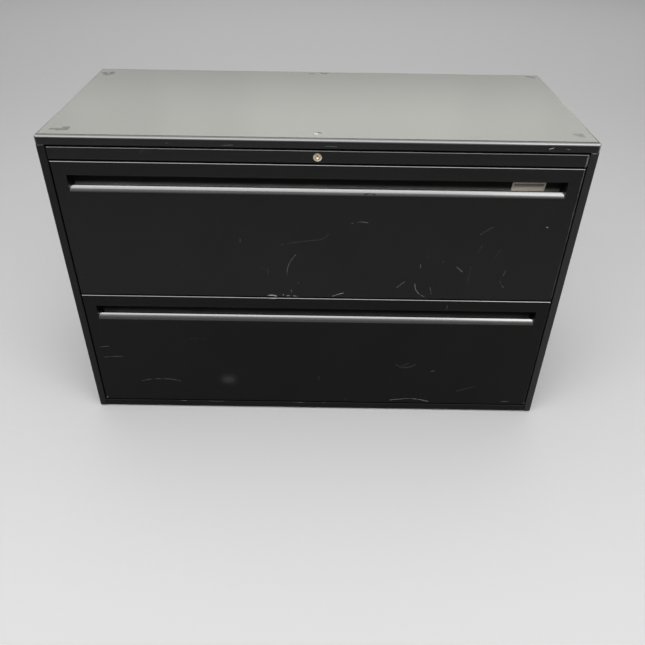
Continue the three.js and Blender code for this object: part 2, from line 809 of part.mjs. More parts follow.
function lockBarrel() {
  const face = -depth / 2;
  const back = frontPlane - seat;
  const rim = acrossY(circle(0, lockLevel, lockFaceRadius), face + lockFaceChamfer, back);
  const brow = acrossY(circle(0, lockLevel, lockFaceRadius - lockFaceChamfer), face, back);
  const body = acrossY(circle(0, lockLevel, barrelRadius), back - weld, back + barrelLength);
  const bore = acrossY(circle(0, lockLevel, plugRadius + seat), face - overrun, back + barrelLength + overrun);
  return cut(join(rim, brow, body), bore);
}

function lockNut() {
  const front = frontPlane + sheet + seat;
  const hexagon = circle(0, lockLevel, nutHalf / Math.cos(Math.PI / 6), 6);
  const bore = acrossY(circle(0, lockLevel, barrelRadius + seat), front - overrun, front + overrun);
  return cut(acrossY(hexagon, front, front + nutThickness), bore);
}

const camBack = lockPlane - seat;
const camFront = camBack - camSheet;

function lockPlug() {
  const face = -depth / 2 + plugRecess;
  const shoulder = frontPlane - seat + barrelLength;
  const core = acrossY(circle(0, lockLevel, plugRadius), face, shoulder);
  const [low, high] = [lockLevel - tailHalf, lockLevel + tailHalf];
  const tail = acrossY(rectangle(-tailHalf, low, tailHalf, high), shoulder - weld, camBack);
  const halfKey = keyHeight / 2;
  const keyway = block(
    -keyWidth / 2, keyWidth / 2, face - overrun, face + keyDepth, lockLevel - halfKey, lockLevel + halfKey,
  );
  return cut(join(core, tail), keyway);
}

function lockCam() {
  const middle = [0, lockLevel];
  const tip = clockPoint(...middle, camReach, -halfTurn);
  const blade = arm(middle, tip, camHub, camTip, camFront, camBack);
  const pin = acrossY(circle(...tip, pinRadius, holeSteps), camBack - weld, lockPlane + linkSheet - weld);
  const hole = tailHalf + seat;
  const square = rectangle(-hole, lockLevel - hole, hole, lockLevel + hole);
  return cut(join(blade, pin), acrossY(square, camFront - overrun, camBack + overrun));
}

// Lock link: a flat bar with an upright slot at each end, one for the cam's pin and one for the crank's.
function lockLink() {
  const camSlot = -linkTravel / 2;
  const crankSlot = pivotX - linkTravel / 2;
  const camRise = (camReach * (1 - Math.cos(halfTurn))) / 2 + slotHalf;
  const crankRise = (crankUpArm * (1 - Math.cos(crankSwing / 2))) / 2 + slotHalf;
  const half = Math.max(camRise, crankRise) + linkWall;
  const end = slotHalf + linkWall;
  const back = lockPlane + linkSheet;
  const [low, high] = [linkLevel - half, linkLevel + half];
  const bar = acrossY(rectangle(camSlot - end, low, crankSlot + end, high, linkWall), lockPlane, back);
  const slots = [[camSlot, camRise], [crankSlot, crankRise]].map(([x, rise]) => {
    const slot = rectangle(x - slotHalf, linkLevel - rise, x + slotHalf, linkLevel + rise);
    return acrossY(slot, lockPlane - overrun, back + overrun);
  });
  return cut(bar, ...slots);
}

function bellCrank() {
  const pivot = [pivotX, pivotLevel];
  const upTip = clockPoint(...pivot, crankUpArm, -crankSwing / 2);
  const outTip = clockPoint(...pivot, crankOutArm, lockTurn - crankSwing / 2);
  const back = crankPlane + linkSheet;
  const pins = [upTip, outTip].map((tip) => {
    return acrossY(circle(...tip, pinRadius, holeSteps), lockPlane + weld, crankPlane + weld);
  });
  const arms = [upTip, outTip].map((tip) => arm(pivot, tip, crankHub, crankTip, crankPlane, back));
  const bore = acrossY(circle(...pivot, pivotRadius + seat), crankPlane - overrun, back + overrun);
  return cut(join(...arms, ...pins), bore);
}

function crankBracket() {
  const right = sideInner - 2 * seat;
  const left = right - bracketWidth;
  const [low, high] = [pivotLevel - bracketHeight / 2, pivotLevel + bracketHeight / 2];
  const plate = acrossY(rectangle(left, low, right, high, bendRadius), bracketPlane, uprightFront - seat);
  const stud = acrossY(circle(pivotX, pivotLevel, pivotRadius), crankPlane, bracketPlane + weld);
  return join(plate, stud);
}

function lockBar() {
  const level = pivotLevel + barTravel / 2;
  const halfLength = (crankOutArm * (1 - Math.cos(crankSwing / 2))) / 2 + slotHalf;
  const top = level + slotHalf + linkWall;
  const foot = lowerDrawer + strikeTop + hookRest - lockBarFoot;
  const back = lockPlane + linkSheet;
  const strip = acrossY(rectangle(barInner, foot, barInner + lockBarWidth, top), lockPlane, back);
  const hooks = [lowerDrawer, upperDrawer].map((drawer) => {
    const low = drawer + strikeTop + hookRest;
    return block(barInner - hookReach, barInner + weld, lockPlane, back, low, low + hookHeight);
  });
  const slot = rectangle(barMiddle - halfLength, level - slotHalf, barMiddle + halfLength, level + slotHalf);
  return cut(join(strip, ...hooks), acrossY(slot, lockPlane - overrun, back + overrun));
}

function lockBarGuide() {
  const skin = sheet / 2;
  const inner = barInner - seat - skin;
  const outer = barInner + lockBarWidth + seat + skin;
  const web = lockPlane + linkSheet + seat + skin;
  const ear = lockPlane - guideEar;
  const staple = foldedOutline([[inner, ear], [inner, web], [outer, web], [outer, ear]], sheet, skin + weld);
  const foot = rectangle(inner + sheet, web, outer - sheet, uprightFront - seat);
  const low = upperDrawer + strikeTop - guideDrop;
  const levels = [low, low + guideHeight];
  return join(acrossZ(staple, ...levels), acrossZ(foot, ...levels));
}

// Assembly: the case
place('top_panel', topPanel(), blackPaint);
place('back_panel', backPanel(), blackPaint);
place('rear_top_rail', rearTopRail(), blackPaint);
place('bottom_pan', bottomPan(), blackPaint);
place('base_rail', baseRail(), blackPaint);
place('counterweight', counterweight(), castIron);
place('lock_rail', lockRail(), blackPaint);
for (const [word, side] of sides) {
  place(`${word}_side_panel`, sidePanel(side), blackPaint);
  place(`${word}_base_channel`, baseChannel(side), blackPaint);
  place(`front_${word}_upright`, slottedUpright(side, uprightFront), blackPaint);
  place(`rear_${word}_upright`, slottedUpright(side, uprightRear), blackPaint);
}
for (const [word, x, y] of feet) {
  place(`foot_${word}`, levellingFoot(), footNylon).position.set(x, y, 0);
}

// Assembly: the drawers, one above the other, and their runners
for (const [word, level] of [['lower', lowerDrawer], ['upper', upperDrawer]]) {
  const drawer = new THREE.Group();
  drawer.position.set(0, frontPlane, level);
  parts.add(drawer);
  place(`${word}_front`, drawerFront(), blackPaint, drawer);
  place(`${word}_pull_trough`, pullTrough(), blackPaint, drawer);
  place(`${word}_inner_front`, innerFront(), blackPaint, drawer);
  place(`${word}_tray_bottom`, trayBottom(), blackPaint, drawer);
  place(`${word}_tray_back`, trayBack(), blackPaint, drawer);
  const runners = new THREE.Group();
  runners.position.set(0, 0, level + runnerRise);
  parts.add(runners);
  for (const [hand, side] of sides) {
    place(`${word}_tray_${hand}_side`, traySide(side), blackPaint, drawer);
    place(`${word}_${hand}_file_bar`, fileBar((side * barSpacing) / 2), zincPlate, drawer);
    place(`${word}_${hand}_cabinet_runner`, cabinetRunner(side), zincPlate, runners);
    place(`${word}_${hand}_middle_runner`, middleRunner(side), zincPlate, runners);
    place(`${word}_${hand}_drawer_runner`, drawerRunner(side), zincPlate, runners);
  }
  if (word === 'upper') {
    const label = new THREE.Group();
    label.position.set(labelCentre, labelPlane, labelLevel);
    label.rotation.x = wallLean;
    drawer.add(label);
    place('label_holder', labelHolder(), labelSteel, label);
    place('label_card', labelCard(), cardStock, label);
  }
}

// Assembly: the lock and its linkage
place('lock_barrel', lockBarrel(), nickel);
place('lock_nut', lockNut(), zincPlate);
place('lock_plug', lockPlug(), nickel);
place('lock_cam', lockCam(), zincPlate);
place('lock_link', lockLink(), zincPlate);
place('bell_crank', bellCrank(), zincPlate);
place('crank_bracket', crankBracket(), zincPlate);
place('lock_bar', lockBar(), zincPlate);
place('lock_bar_guide', lockBarGuide(), zincPlate);

export default parts;
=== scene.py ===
# %% [markdown]
# A lateral filing cabinet in black enamel, dressed around its engineering model.
# Every panel of the real cabinet is a folded sheet of steel, so the shapes come straight from the
# model and this lesson is about what turns those shapes into painted steel: soft folds, paint, wear,
# plated metal, small fasteners, and light that lets a black object be read.

# %% Load the cabinet's frame
import json
import math

import bmesh
import bpy
from mathutils import Matrix, Vector


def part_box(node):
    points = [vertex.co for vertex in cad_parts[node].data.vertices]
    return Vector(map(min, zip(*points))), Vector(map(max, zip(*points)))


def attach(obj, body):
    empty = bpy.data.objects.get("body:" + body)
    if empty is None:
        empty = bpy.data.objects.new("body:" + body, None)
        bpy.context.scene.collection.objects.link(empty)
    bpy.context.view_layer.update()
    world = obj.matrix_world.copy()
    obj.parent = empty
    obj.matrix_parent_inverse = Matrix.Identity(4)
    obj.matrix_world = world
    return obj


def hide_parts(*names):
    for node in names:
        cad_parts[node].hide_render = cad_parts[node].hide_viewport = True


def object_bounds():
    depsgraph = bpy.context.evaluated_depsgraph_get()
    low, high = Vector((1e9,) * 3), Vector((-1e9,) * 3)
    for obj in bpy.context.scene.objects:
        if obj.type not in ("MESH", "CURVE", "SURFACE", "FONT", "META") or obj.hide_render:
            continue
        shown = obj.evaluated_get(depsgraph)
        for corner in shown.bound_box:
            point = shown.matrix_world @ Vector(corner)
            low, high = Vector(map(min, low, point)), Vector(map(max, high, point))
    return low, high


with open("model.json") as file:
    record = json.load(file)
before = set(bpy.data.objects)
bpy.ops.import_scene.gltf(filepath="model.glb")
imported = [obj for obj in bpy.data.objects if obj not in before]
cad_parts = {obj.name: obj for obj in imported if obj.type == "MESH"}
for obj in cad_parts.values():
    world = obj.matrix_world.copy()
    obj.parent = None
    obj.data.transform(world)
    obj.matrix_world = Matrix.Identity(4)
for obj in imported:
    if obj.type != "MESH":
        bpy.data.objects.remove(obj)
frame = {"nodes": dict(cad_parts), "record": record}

nodes = frame["nodes"]
cad_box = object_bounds()
MM = 0.001
print("cabinet nodes:", len(nodes))

# %% [markdown]
# The camera hangs at about chest height and looks down at the cabinet. It could be aimed by eye, but
# then the sides would lean differently from the photograph. So known corners of the cabinet were
# lined up with their places in the picture until they agreed, and that gave the place, in millimetres,
# and the pan, tilt and roll, in radians. From these the camera's own three directions are worked out
# and written into its matrix.

# %% Place the camera
picture_pixels = 645
focal_pixels = 653.2
sensor_width = 36.0
camera_place = Vector((13.3, -1421.3, 1128.1)) * MM
pan, tilt, roll = 0.0010, 0.6256, 0.0159

forward = Vector((math.sin(pan) * math.cos(tilt), math.cos(pan) * math.cos(tilt), -math.sin(tilt)))
level_right = Vector((math.cos(pan), -math.sin(pan), 0.0))
level_up = level_right.cross(forward)
camera_right = math.cos(roll) * level_right + math.sin(roll) * level_up
camera_up = math.cos(roll) * level_up - math.sin(roll) * level_right

camera_data = bpy.data.cameras.new("photo_camera")
camera_data.sensor_width = sensor_width
camera_data.lens = focal_pixels / picture_pixels * sensor_width
camera = bpy.data.objects.new("photo_camera", camera_data)
turn = Matrix((camera_right, camera_up, -forward)).transposed()
camera.matrix_world = Matrix.Translation(camera_place) @ turn.to_4x4()
bpy.context.scene.collection.objects.link(camera)
bpy.context.scene.camera = camera
print("lens in mm:", round(camera_data.lens, 2))

# %% [markdown]
# Materials are built from nodes. A few small helpers keep that short: one adds a node and fills its
# sockets by name, and the others chain plain arithmetic. A socket may be given a number or another
# node's output, and plug() links or sets it as needed.

# %% Helpers that add and join nodes
def plug(tree, socket, value):
    if isinstance(value, bpy.types.NodeSocket):
        tree.links.new(value, socket)
    else:
        socket.default_value = value


def add_node(tree, kind, settings=None, **sockets):
    made = tree.nodes.new(kind)
    for name, value in (settings or {}).items():
        setattr(made, name, value)
    for name, value in sockets.items():
        plug(tree, made.inputs[name.replace("_", " ")], value)
    return made


def reckon(tree, operation, *values, clamp=False):
    made = tree.nodes.new("ShaderNodeMath")
    made.operation = operation
    made.use_clamp = clamp
    for socket, value in zip(made.inputs, values):
        plug(tree, socket, value)
    return made.outputs[0]


def vector_math(tree, operation, *values, scale=None):
    made = tree.nodes.new("ShaderNodeVectorMath")
    made.operation = operation
    for socket, value in zip(made.inputs, values):
        plug(tree, socket, value)
    if scale is not None:
        plug(tree, made.inputs["Scale"], scale)
    return made.outputs["Value" if operation in ("LENGTH", "DOT_PRODUCT") else "Vector"]


# %% [markdown]
# One node can mix numbers or colours. It keeps a pair of sockets for each kind, and they all have the
# same names, so they are picked by number. A ramp turns a value into a share between nought and one,
# softly, and a noise gives the unevenness that every real finish has.

# %% Helpers that blend, ramp and vary
MIX_SOCKETS = {"FLOAT": (0, 2, 3), "RGBA": (0, 6, 7)}
MIX_RESULT = {"FLOAT": 0, "RGBA": 2}


def blend(tree, kind, share, low, high):
    made = add_node(tree, "ShaderNodeMix", {"data_type": kind})
    for number, value in zip(MIX_SOCKETS[kind], (share, low, high)):
        plug(tree, made.inputs[number], value)
    return made.outputs[MIX_RESULT[kind]]


def blend_values(tree, share, low, high):
    return blend(tree, "FLOAT", share, low, high)


def blend_colours(tree, share, low, high):
    return blend(tree, "RGBA", share, low, high)


def ramp(tree, value, start, end):
    made = add_node(tree, "ShaderNodeMapRange", {"interpolation_type": "SMOOTHSTEP"})
    plug(tree, made.inputs["Value"], value)
    plug(tree, made.inputs["From Min"], start)
    plug(tree, made.inputs["From Max"], end)
    return made.outputs["Result"]


def noise(tree, place, scale, detail=2.0, roughness=0.5, distortion=0.0, output="Fac"):
    made = add_node(
        tree, "ShaderNodeTexNoise", Vector=place, Scale=scale, Detail=detail,
        Roughness=roughness, Distortion=distortion,
    )
    return made.outputs[output]


# %% Start a material
def start_material(name):
    material = bpy.data.materials.new(name)
    material.use_nodes = True
    tree = material.node_tree
    shader = tree.nodes["Principled BSDF"]
    place = add_node(tree, "ShaderNodeTexCoord").outputs["Object"]
    return material, tree, shader, place


def grey(level, warmth=0.0):
    return (level * (1 + warmth), level, level * (1 - warmth), 1.0)


print("a warm middle grey:", grey(0.5, warmth=0.03))

# %% [markdown]
# A mark on paint is a scratch, a rub or a chip at one place. It could be painted into an image, but
# then it would blur up close. Here each one is drawn as the distance to a short straight stroke: well
# inside the stroke's half width the mark shows in full, and outside it doesn't show. One node group
# does the sum and is used once for each stroke.

# %% The stroke group
full_inside_share = 0.35


def stroke_group():
    group = bpy.data.node_groups.new("stroke", "ShaderNodeTree")
    for name, kind in (("Place", "Vector"), ("Start", "Vector"), ("Reach", "Vector"), ("Half", "Float")):
        group.interface.new_socket(name, in_out="INPUT", socket_type=f"NodeSocket{kind}")
    group.interface.new_socket("Share", in_out="OUTPUT", socket_type="NodeSocketFloat")
    inside = group.nodes.new("NodeGroupInput")
    outside = group.nodes.new("NodeGroupOutput")
    place, start, reach, half = (inside.outputs[name] for name in ("Place", "Start", "Reach", "Half"))
    offset = vector_math(group, "SUBTRACT", place, start)
    squared = vector_math(group, "DOT_PRODUCT", reach, reach)
    along = reckon(group, "DIVIDE", vector_math(group, "DOT_PRODUCT", offset, reach), squared, clamp=True)
    nearest = vector_math(group, "SCALE", reach, scale=along)
    gap = vector_math(group, "LENGTH", vector_math(group, "SUBTRACT", offset, nearest))
    share = ramp(group, gap, half, reckon(group, "MULTIPLY", half, full_inside_share))
    group.links.new(share, outside.inputs["Share"])
    return group


STROKE = stroke_group()


def stroke(tree, place, start, end, half):
    made = tree.nodes.new("ShaderNodeGroup")
    made.node_tree = STROKE
    tree.links.new(place, made.inputs["Place"])
    made.inputs["Start"].default_value = start
    made.inputs["Reach"].default_value = Vector(end) - Vector(start)
    made.inputs["Half"].default_value = half
    return made.outputs["Share"]


print("stroke group nodes:", len(STROKE.nodes))

# %% [markdown]
# Where hands and sleeves rub a fold it is polished, so it carries a hard highlight beside a dull face:
# the lips of the pulls, the upper edges of the fronts and the soft edge of the top. Such folds are
# found by their normals. A normal that points part of the way up lies on an upper fold, while on a
# flat panel its upward part is close to nought or to one. The same test on its sideways part finds the
# right-hand edges, which are polished too and carry a painted highlight, a paler grey in their colour.
# Orange peel is the faint dimpling of sprayed paint, and a shallow bump of very fine noise is enough
# for it.

# %% Folds and orange peel
fold_begins = {"start": 0.10, "end": 0.36}
fold_ends = {"start": 0.994, "end": 0.93}
peel_depth, peel_strength = 0.04 * MM, 0.3


def fold_shares(tree):
    facing = add_node(tree, "ShaderNodeTexCoord").outputs["Normal"]
    parts = add_node(tree, "ShaderNodeSeparateXYZ", Vector=facing).outputs
    shares = []
    for part in (parts["Z"], parts["X"]):
        turned = ramp(tree, part, **fold_begins)
        shares.append(reckon(tree, "MULTIPLY", turned, ramp(tree, part, **fold_ends)))
    return shares


def orange_peel(tree, shader, place):
    peel = noise(tree, place, scale=780.0)
    bump = add_node(tree, "ShaderNodeBump", Height=peel, Distance=peel_depth, Strength=peel_strength)
    plug(tree, shader.inputs["Normal"], bump.outputs["Normal"])


# %% [markdown]
# A real scratch isn't ruler-straight and not equally deep all along. So the place is bent a little by
# noise before the distance is taken, and a finer noise breaks the stroke here and there. Bare, rough
# metal or primer shows in it, and no polish.

# %% Draw marks into an enamel
crook = 5 * MM
mark_warmth, mark_roughness = 0.03, 0.62


def draw_marks(tree, place, marks, colour, roughness, coat):
    crooked = noise(tree, place, scale=38.0, detail=3.0, roughness=0.6, output="Color")
    shift = vector_math(tree, "SUBTRACT", crooked, (0.5, 0.5, 0.5))
    bent = vector_math(tree, "ADD", place, vector_math(tree, "SCALE", shift, scale=crook))
    broken = ramp(tree, noise(tree, place, scale=260.0, detail=3.0, roughness=0.7), start=0.30, end=0.52)
    for start, end, half, cover, paleness in marks:
        share = reckon(tree, "MULTIPLY", stroke(tree, bent, start, end, half), cover)
        share = reckon(tree, "MULTIPLY", share, broken)
        colour = blend_colours(tree, share, colour, grey(paleness, mark_warmth))
        roughness = blend_values(tree, share, roughness, mark_roughness)
        if coat is not None:
            coat = blend_values(tree, share, coat, 0.0)
    return colour, roughness, coat


# %% [markdown]
# Baked enamel on steel is nearly black, and one black colour would be the quick way to it, but the
# real thing never reads as flat. Four things give it away: a fine orange peel that softens
# reflections, slow changes of gloss where hands and cloths have wiped it, marks, and the folds. The
# paint is a dielectric, so its own colour stays very dark and what we see is mostly the room in its
# gloss. The larger of the two fold shares drives a coat of polish over the paint, and the right-hand
# edges also get a painted highlight: their colour is mixed towards a paler grey.

# %% Black enamel
speck_share, speck_grey = 0.2, grey(0.04)
# painted highlight: the share and the paler grey that the right-hand edges' colour is mixed towards
painted_highlight_share, painted_highlight_grey = 0.7, grey(0.09)
polish_roughness = 0.2


def black_enamel(name, marks=(), tone=0.0040, gloss=0.33, wiping=0.015, index=1.36, polish=None):
    material, tree, shader, place = start_material(name)
    wiped = noise(tree, place, scale=5.0, detail=3.0, roughness=0.55, distortion=0.6)
    specks = ramp(tree, noise(tree, place, scale=420.0, detail=1.0), start=0.70, end=0.78)
    roughness = blend_values(tree, ramp(tree, wiped, start=0.25, end=0.75), gloss - wiping, gloss + wiping)
    dark, light = grey(tone * 0.9), grey(tone * 1.15, warmth=0.02)
    colour = blend_colours(tree, ramp(tree, wiped, start=0.25, end=0.8), dark, light)
    colour = blend_colours(tree, reckon(tree, "MULTIPLY", specks, speck_share), colour, speck_grey)
    coat = None
    if polish:
        upper_fold, right_fold = fold_shares(tree)
        coat = reckon(tree, "MAXIMUM", upper_fold, right_fold)
        # painted highlight: the right-hand edges are made paler in colour
        painted_highlight = reckon(tree, "MULTIPLY", right_fold, painted_highlight_share)
        colour = blend_colours(tree, painted_highlight, colour, painted_highlight_grey)
    if marks:
        colour, roughness, coat = draw_marks(tree, place, marks, colour, roughness, coat)
    plug(tree, shader.inputs["Base Color"], colour)
    plug(tree, shader.inputs["Roughness"], roughness)
    shader.inputs["IOR"].default_value = index
    if polish:
        plug(tree, shader.inputs["Coat Weight"], coat)
        shader.inputs["Coat IOR"].default_value = polish
        shader.inputs["Coat Roughness"].default_value = polish_roughness
    orange_peel(tree, shader, place)
    return material


case_enamel = black_enamel("case_enamel")
drawer_enamel = black_enamel("drawer_enamel")
print("plain enamel nodes:", len(case_enamel.node_tree.nodes))

# %% [markdown]
# A used cabinet is marked where people use it. Each mark here is a row of points in the cabinet's own
# millimetres, joined by strokes, so it stays with its panel when a drawer moves. A row starts with its
# half width, how much of the paint it covers, and how pale it is. A curved scratch is an arc through
# its two ends and its crown. A material has room for some forty strokes and turns plain black when it
# gets many more, so an arc takes few steps.

# %% Helpers that lay out marks
top_level = cad_box[1][2] / MM
skirt_face = cad_box[0][1] / MM
front_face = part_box("upper_front")[0][1] / MM
fine, broad = 0.75, 1.1
faint, plain, bright, dull = 0.035, 0.10, 0.22, 0.010


def strokes(points, half, cover, paleness):
    places = [Vector(point) * MM for point in points]
    ends = places[1:] or [places[0] + Vector((half, 0.0, 0.0)) * MM]
    return [(start, end, half * MM, cover, paleness) for start, end in zip(places, ends)]


def on_top(half, cover, paleness, *points):
    return strokes([(x, y, top_level) for x, y in points], half, cover, paleness)


def on_front(half, cover, paleness, *points, face=front_face):
    return strokes([(x, face, z) for x, z in points], half, cover, paleness)


def arc(start, crown, end, steps=6):
    start, crown, end = Vector(start), Vector(crown), Vector(end)
    pull = 2 * crown - (start + end) / 2
    shares = [step / steps for step in range(steps + 1)]
    return [start * (1 - t) ** 2 + pull * 2 * t * (1 - t) + end * t ** 2 for t in shares]


print("front face in mm:", round(front_face, 2))

# %% [markdown]
# The top has dull scuffs near its corners and at the middle of its back edge, where boxes were set
# down, and a dent at the middle of its front edge, which is painted as a pale highlight with a painted
# shade beside it. The skirt below it has small chips. The dark scuffs are wide strokes of a duller
# black.

# %% Marks on the top and its skirt
top_marks = [
    # left back corner
    *on_top(9, 0.75, dull, (-517, 194), (-506, 178)),
    *on_top(9, 0.8, dull, (-500, 198), (-497, 184)),
    # left front corner
    *on_top(7, 0.45, dull, (-510, -196), (-504, -195)),
    *on_top(8, 0.55, dull, (-496, -198), (-482, -196)),
    *on_top(6, 0.5, dull, (-489, -187), (-481, -186)),
    # middle of the back edge
    *on_top(6, 0.75, dull, (-26, 214), (-14, 213)),
    *on_top(8, 0.9, dull, (6, 214), (14, 213)),
    # right back corner, right front corner
    *on_top(8, 0.85, dull, (503, 216), (514, 208)),
    *on_top(9, 0.28, dull, (498, -184), (507, -183)),
    *on_top(8, 0.32, dull, (506, -190), (508, -194)),
    # the dent: a painted highlight, and a painted shade on its far side
    *on_top(2.8, 1.0, 0.75, (-4, -201)),
    *on_top(3.2, 0.8, dull, (1, -193), (6, -196)),
    # chips along the skirt
    *on_front(broad, 1.0, bright, (437, 678), (445, 680), face=skirt_face),
    *on_front(fine, 1.0, bright, (468, 678), (476, 678), face=skirt_face),
    *on_front(fine, 0.9, plain, (-286, 677), (-282, 677), face=skirt_face),
    *on_front(fine, 0.7, plain, (-181, 675), (-160, 676), face=skirt_face),
    *on_front(fine, 0.7, plain, (14, 676), (36, 675), face=skirt_face),
]
print("strokes on the top:", len(top_marks))

# %% [markdown]
# The lock rail is out of reach of most knocks. It has three small nicks, two of them beside the lock,
# and a painted highlight, a pale stroke, along its right-hand end.

# %% Marks on the lock rail
rail_end = 514.6
rail_marks = [
    *on_front(fine, 0.9, plain, (29, 661), (29, 656)),
    *on_front(fine, 0.8, faint, (-339, 658), (-332, 662)),
    *on_front(fine, 0.7, faint, (-30, 655), (-26, 649)),
    # a painted highlight along the right-hand end, where the fold catches light
    *on_front(1.7, 0.9, 0.12, (rail_end, 642), (rail_end, 665)),
]
print("strokes on the lock rail:", len(rail_marks))

# %% [markdown]
# The upper front is the one people stand against. It carries the scratches of keys and rings: short
# arcs, dots and long light strokes, more of them towards the right-hand side, and a row of chips along
# its lower edge. The dark chip on the pull's lip lies a little behind the face, because the lip rolls
# inward.

# %% Marks on the upper front
lip_chip_face = front_face + 1.5
right_edge = 514.8
upper_marks = [
    # high up, from the middle to the right
    *on_front(fine, 1.0, plain, (71, 515), (88, 518), (103, 516)),
    *on_front(fine, 1.0, faint, (-75, 463), (-35, 471), (7, 477), (22, 485), (25, 491)),
    *on_front(broad, 1.0, faint, (336, 494), (359, 511)),
    *on_front(1.6, 1.0, bright, (468, 512)),
    # the group of scratches right of the middle
    *on_front(fine, 1.0, plain, (212, 432), (219, 423), (221, 411)),
    *on_front(broad, 0.9, faint, (234, 442), (234, 436)),
    *on_front(fine, 1.0, plain, (267, 431), (268, 425)),
    *on_front(broad, 1.0, plain, (297, 417), (311, 405)),
    *on_front(fine, 1.0, plain, (403, 411), (402, 405), (400, 397)),
    *on_front(fine, 1.0, plain, (393, 383), (405, 366)),
    *on_front(broad, 1.0, plain, (174, 361), (191, 378)),
    *on_front(0.9, 1.0, 0.15, *arc((213, 372), (218, 352), (236, 338), 3)),
    *on_front(fine, 1.0, plain, (246, 363), (251, 346)),
    *on_front(broad, 1.0, 0.2, (36, 337), (58, 346)),
    # long light strokes near the right edge
    *on_front(fine, 0.9, faint, (344, 468), (335, 450)),
    *on_front(fine, 0.9, faint, (327, 417), (326, 376)),
    *on_front(fine, 0.8, faint, (385, 461), (369, 430)),
    # left of the middle
    *on_front(fine, 1.0, plain, (-159, 477), (-158, 463)),
    *on_front(fine, 1.0, plain, *arc((-44, 440), (-59, 418), (-63, 388), 3)),
    *on_front(fine, 0.9, faint, (-118, 411), (-108, 401)),
    *on_front(fine, 0.9, faint, (-103, 409), (-104, 385)),
    *on_front(fine, 0.8, faint, (-286, 410), (-286, 403)),
    *on_front(fine, 0.8, faint, (-33, 381), (-34, 376)),
    # chips along the lower edge
    *on_front(1.6, 1.0, 0.36, (-106, 336), (-96, 337.5), (-88, 335.5)),
    *on_front(1.3, 1.0, bright, (-73, 338.5)),
    *on_front(broad, 1.0, bright, (-64, 336), (-58, 337)),
    *on_front(broad, 1.0, bright, (-50, 335), (-42, 335)),
    *on_front(broad, 0.9, plain, (-54, 345), (-55, 352)),
    *on_front(fine, 0.9, 0.06, (-39, 374), (-37, 368)),
    # the dark chip on the lip
    *on_front(2.0, 1.0, dull, (94, 578.5), (103, 580.5), (114, 578.5), face=lip_chip_face),
    # a painted highlight along the right edge, where the fold catches light
    *on_front(1.5, 0.8, 0.07, (right_edge, 636), (right_edge, 480)),
    *on_front(1.4, 0.5, 0.07, (right_edge, 480), (right_edge, 340)),
]
print("strokes on the upper front:", len(upper_marks))

# %% [markdown]
# The lower front is marked more lightly: a rub in the shape of a crescent and a wide pale one on the
# right, a round smudge left of the middle, a long curved scratch on each side, a chip at each lower
# corner and a chipped upper edge.

# %% Marks on the lower front
lower_marks = [
    *on_front(fine, 1.0, plain, (290, 317), (290, 305)),
    # the crescent, with two faint rubs inside it
    *on_front(2.6, 0.5, faint, *arc((189, 147), (212, 137), (236, 148), 4)),
    *on_front(2.6, 0.4, faint, (205, 143), (218, 150)),
    *on_front(2.0, 0.4, faint, (212, 138), (226, 141)),
    *on_front(broad, 1.0, plain, (276, 127), (283, 128)),
    # the wide pale rub
    *on_front(3.0, 0.45, faint, (344, 66), (382, 80)),
    # the long curved scratch on the right
    *on_front(0.9, 1.0, 0.2, *arc((184, 32), (232, 38), (277, 31), 8)),
    *on_front(broad, 1.0, plain, (457, 34), (475, 34)),
    *on_front(fine, 0.9, faint, (6, 110), (8, 95)),
    # a chip at each lower corner, and two dots
    *on_front(1.3, 1.0, 0.5, (513, 30)),
    *on_front(1.3, 1.0, 0.5, (-513, 29)),
    *on_front(broad, 1.0, plain, (40, 32)),
    *on_front(broad, 1.0, plain, (72, 32)),
    # left side, the last one being the long curved scratch
    *on_front(fine, 1.0, plain, (-504, 185), (-482, 188)),
    *on_front(fine, 1.0, plain, (-498, 156), (-452, 159)),
    *on_front(fine, 1.0, 0.12, *arc((-418, 84), (-371, 91), (-326, 85))),
    # the round smudge, a wide soft one with a smaller one inside
    *on_front(24, 0.12, 0.07, (-214, 92), (-206, 92)),
    *on_front(13, 0.22, 0.07, (-214, 92), (-206, 92)),
    *on_front(fine, 0.8, faint, (-295, 213), (-248, 214)),
    *on_front(fine, 0.9, plain, (8, 100), (11, 108)),
    # the chipped upper edge
    *on_front(fine, 1.0, 0.3, (-112, 328.6), (-90, 328.6)),
]
print("strokes on the lower front:", len(lower_marks))

# %% [markdown]
# The base rail is chipped along its upper edge. The folded flanges of the two sides end just under the
# skirt of the top, and there a short pale line is a painted highlight, the light caught by the top of
# each flange.

# %% Marks on the base rail, and painted highlights on the sides
base_low, base_high = (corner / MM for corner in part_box("base_rail"))
chip_drop = 1.0
base_top, base_face = base_high.z - chip_drop, base_low.y
flange_top = 669.8

base_marks = [
    *on_front(fine, 1.0, bright, (-333, base_top), (-320, base_top), face=base_face),
    *on_front(
        fine, 1.0, plain, (-262, base_top), (-240, base_top - chip_drop), (-224, base_top), face=base_face,
    ),
    *on_front(fine, 1.0, plain, (-54, base_top), (-30, base_top), face=base_face),
    *on_front(fine, 1.0, plain, (8, base_top), (32, base_top), face=base_face),
]
# painted highlights: a short pale line on each side's flange, paler on the right, where more light falls
left_side_highlight = on_front(0.9, 1.0, 0.13, (-532, flange_top), (-520, flange_top))
right_side_highlight = on_front(0.9, 1.0, 0.30, (520, flange_top), (532, flange_top))
print("strokes on the base rail:", len(base_marks))

# %% [markdown]
# The panels don't mirror alike, because the light falls differently on each. The top is wiped like a
# table and is the smoothest, and the lower front and the base rail mirror least. The index of an
# enamel says how strongly it mirrors, and the polish is the same for its folds. Both were set for
# each panel by comparing the render's greys with the photograph's, so the differences between the
# panels are painted light and shade: the right side, for one, has a higher index than the left
# because it lies in brighter light.

